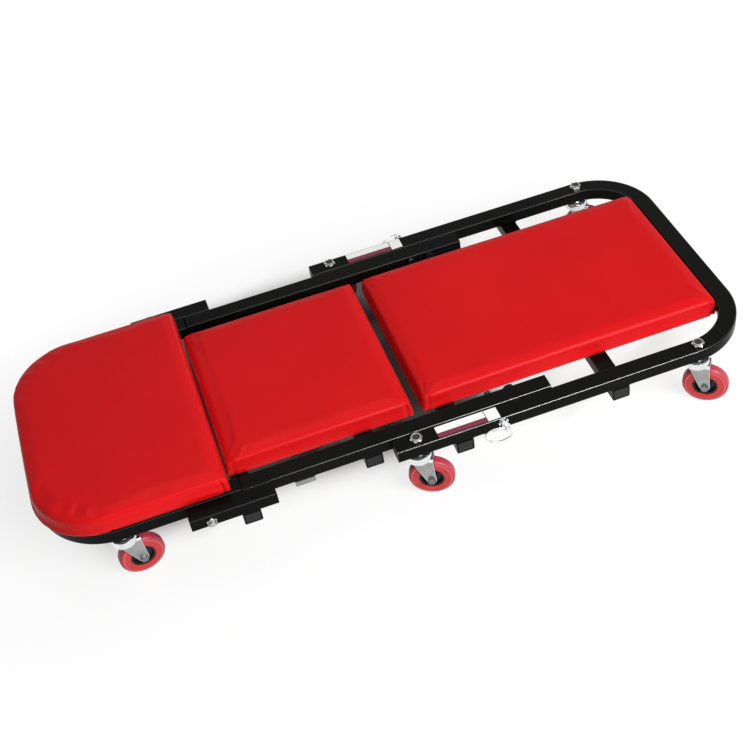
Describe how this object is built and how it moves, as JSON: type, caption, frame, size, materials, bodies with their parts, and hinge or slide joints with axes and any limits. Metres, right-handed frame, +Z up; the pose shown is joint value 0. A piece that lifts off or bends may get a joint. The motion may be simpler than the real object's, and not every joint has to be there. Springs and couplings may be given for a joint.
{
  "type": "mechanic creeper",
  "caption": "Padded folding mechanic creeper on swivel casters: three hinged tube frame sections lie flat as a bed or fold in a Z to make a rolling seat.",
  "frame": {"origin": "on the floor, under the middle of the bed as it lies flat on its casters", "axes": "+X from the head pad to the foot end, +Y to the far side of the bed in the picture, +Z up"},
  "size_m": [1.007, 0.4566, 0.132],
  "materials": {
    "frame_black": "gloss black powder coat",
    "pad_red": "smooth shiny red vinyl",
    "zinc": "bright zinc plate on pressed steel",
    "chrome": "bright chrome plate",
    "tyre_red": "red polyurethane, satin",
    "hub_black": "moulded black nylon",
    "plywood": "bare plywood",
    "plug_black": "moulded black plastic",
    "label": "plain white film with a maroon stripe"
  },
  "bodies": {
    "foot_frame": {"foot_tube": "frame_black", "foot_cross_bar_near": "frame_black", "foot_cross_bar_far": "frame_black", "foot_end_plugs": "plug_black", "foot_pad_board": "plywood", "foot_pad": "pad_red", "foot_pad_screws": "zinc", "seat_stop_brackets": "frame_black", "fold_hinge_bolts": "zinc", "lock_pin_housings": "chrome", "lock_pin_springs": "zinc", "label_strips": "label", "foot_caster_stems": "zinc", "foot_caster_nuts": "chrome"},
    "mid_frame": {"mid_rails": "frame_black", "hinge_arms": "frame_black", "mid_cross_bar_head": "frame_black", "mid_cross_bar_foot": "frame_black", "mid_end_plugs": "plug_black", "mid_pad_board": "plywood", "mid_pad": "pad_red", "mid_pad_screws": "zinc", "rail_fittings": "zinc", "head_hinge_bolts": "zinc", "head_hinge_nuts": "chrome"},
    "head_frame": {"head_tube": "frame_black", "head_end_plugs": "plug_black", "head_pad_board": "plywood", "head_pad": "pad_red", "head_pad_screws": "zinc", "head_caster_stems": "zinc", "head_caster_nuts": "chrome"},
    "lock_pin_front": {"lock_pin_front": "chrome"},
    "lock_pin_back": {"lock_pin_back": "chrome"},
    "pull_ring_front": {"pull_ring_front": "chrome"},
    "pull_ring_back": {"pull_ring_back": "chrome"},
    "fork_foot_front": {"fork_foot_front": "zinc", "axle_foot_front": "zinc"},
    "wheel_foot_front": {"hub_foot_front": "hub_black", "tyre_foot_front": "tyre_red"},
    "fork_foot_back": {"fork_foot_back": "zinc", "axle_foot_back": "zinc"},
    "wheel_foot_back": {"hub_foot_back": "hub_black", "tyre_foot_back": "tyre_red"},
    "fork_mid_front": {"fork_mid_front": "zinc", "axle_mid_front": "zinc"},
    "wheel_mid_front": {"hub_mid_front": "hub_black", "tyre_mid_front": "tyre_red"},
    "fork_mid_back": {"fork_mid_back": "zinc", "axle_mid_back": "zinc"},
    "wheel_mid_back": {"hub_mid_back": "hub_black", "tyre_mid_back": "tyre_red"},
    "fork_head_front": {"fork_head_front": "zinc", "axle_head_front": "zinc"},
    "wheel_head_front": {"hub_head_front": "hub_black", "tyre_head_front": "tyre_red"},
    "fork_head_back": {"fork_head_back": "zinc", "axle_head_back": "zinc"},
    "wheel_head_back": {"hub_head_back": "hub_black", "tyre_head_back": "tyre_red"}
  },
  "joints": [
    {"name": "fold_mid", "type": "hinge", "parent": "foot_frame", "child": "mid_frame", "pos_m": [0.15, 0, 0.092], "axis": [0, 1, 0], "range_deg": [0, 120]},
    {"name": "fold_head", "type": "hinge", "parent": "mid_frame", "child": "head_frame", "pos_m": [-0.2845, 0, 0.092], "axis": [0, -1, 0], "range_deg": [0, 120]},
    {"name": "lock_pin_front_slide", "type": "slide", "parent": "foot_frame", "child": "lock_pin_front", "axis": [0, -1, 0], "range_m": [-0.004, 0], "stiffness_N_per_m": 400, "springref_m": -0.004},
    {"name": "pull_ring_front_hinge", "type": "hinge", "parent": "lock_pin_front", "child": "pull_ring_front", "pos_m": [0.12, -0.2241, 0.095], "axis": [-0.766, 0, 0.6428], "range_deg": [0, 100]},
    {"name": "lock_pin_back_slide", "type": "slide", "parent": "foot_frame", "child": "lock_pin_back", "axis": [0, 1, 0], "range_m": [-0.004, 0], "stiffness_N_per_m": 400, "springref_m": -0.004},
    {"name": "pull_ring_back_hinge", "type": "hinge", "parent": "lock_pin_back", "child": "pull_ring_back", "pos_m": [0.12, 0.2241, 0.095], "axis": [0.766, 0, -0.6428], "range_deg": [0, 100]},
    {"name": "swivel_foot_front", "type": "hinge", "parent": "foot_frame", "child": "fork_foot_front", "pos_m": [0.412, -0.1975, 0.07], "axis": [0, 0, 1], "continuous": true},
    {"name": "roll_foot_front", "type": "hinge", "parent": "fork_foot_front", "child": "wheel_foot_front", "pos_m": [0.42347, -0.20553, 0.03175], "axis": [0.5736, 0.8192, 0], "continuous": true},
    {"name": "swivel_foot_back", "type": "hinge", "parent": "foot_frame", "child": "fork_foot_back", "pos_m": [0.412, 0.1975, 0.07], "axis": [0, 0, 1], "continuous": true},
    {"name": "roll_foot_back", "type": "hinge", "parent": "fork_foot_back", "child": "wheel_foot_back", "pos_m": [0.42516, 0.19271, 0.03175], "axis": [0.342, 0.9397, 0], "continuous": true},
    {"name": "swivel_mid_front", "type": "hinge", "parent": "foot_frame", "child": "fork_mid_front", "pos_m": [0.002, -0.1975, 0.07], "axis": [0, 0, 1], "continuous": true},
    {"name": "roll_mid_front", "type": "hinge", "parent": "fork_mid_front", "child": "wheel_mid_front", "pos_m": [0.01498, -0.20274, 0.03175], "axis": [0.3746, 0.9272, 0], "continuous": true},
    {"name": "swivel_mid_back", "type": "hinge", "parent": "foot_frame", "child": "fork_mid_back", "pos_m": [0.002, 0.1975, 0.07], "axis": [0, 0, 1], "continuous": true},
    {"name": "roll_mid_back", "type": "hinge", "parent": "fork_mid_back", "child": "wheel_mid_back", "pos_m": [0.01347, 0.20553, 0.03175], "axis": [-0.5736, 0.8192, 0], "continuous": true},
    {"name": "swivel_head_front", "type": "hinge", "parent": "head_frame", "child": "fork_head_front", "pos_m": [-0.4, -0.17, 0.07], "axis": [0, 0, 1], "continuous": true},
    {"name": "roll_head_front", "type": "hinge", "parent": "fork_head_front", "child": "wheel_head_front", "pos_m": [-0.38617, -0.16781, 0.03175], "axis": [-0.1564, 0.9877, 0], "continuous": true},
    {"name": "swivel_head_back", "type": "hinge", "parent": "head_frame", "child": "fork_head_back", "pos_m": [-0.4, 0.17, 0.07], "axis": [0, 0, 1], "continuous": true},
    {"name": "roll_head_back", "type": "hinge", "parent": "fork_head_back", "child": "wheel_head_back", "pos_m": [-0.38684, 0.17479, 0.03175], "axis": [-0.342, 0.9397, 0], "continuous": true}
  ]
}
